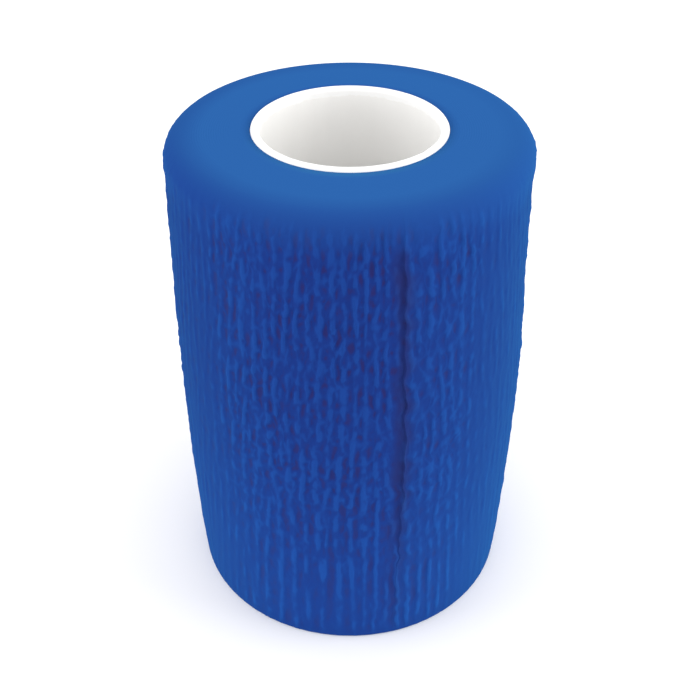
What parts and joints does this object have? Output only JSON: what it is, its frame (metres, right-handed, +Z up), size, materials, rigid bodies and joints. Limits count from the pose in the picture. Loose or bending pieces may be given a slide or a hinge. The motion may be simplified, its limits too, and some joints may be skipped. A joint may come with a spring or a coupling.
{
  "type": "sock tape roll",
  "caption": "Roll of self-clinging crepe sock tape wound on a thin white core tube, standing on its end.",
  "frame": {"origin": "centre of the flat foot that the roll stands on, on the core's axis", "axes": "+Z up along the core's axis, -Y towards the viewer, with the tape's cut end 16.5 degrees to the right of -Y"},
  "size_m": [0.0521, 0.052, 0.0754],
  "materials": {
    "core": "smooth satin white",
    "crepe": "crinkled crepe, matte with a soft sheen"
  },
  "bodies": {
    "root": {"core": "core", "wound_roll": "crepe"}
  },
  "joints": []
}
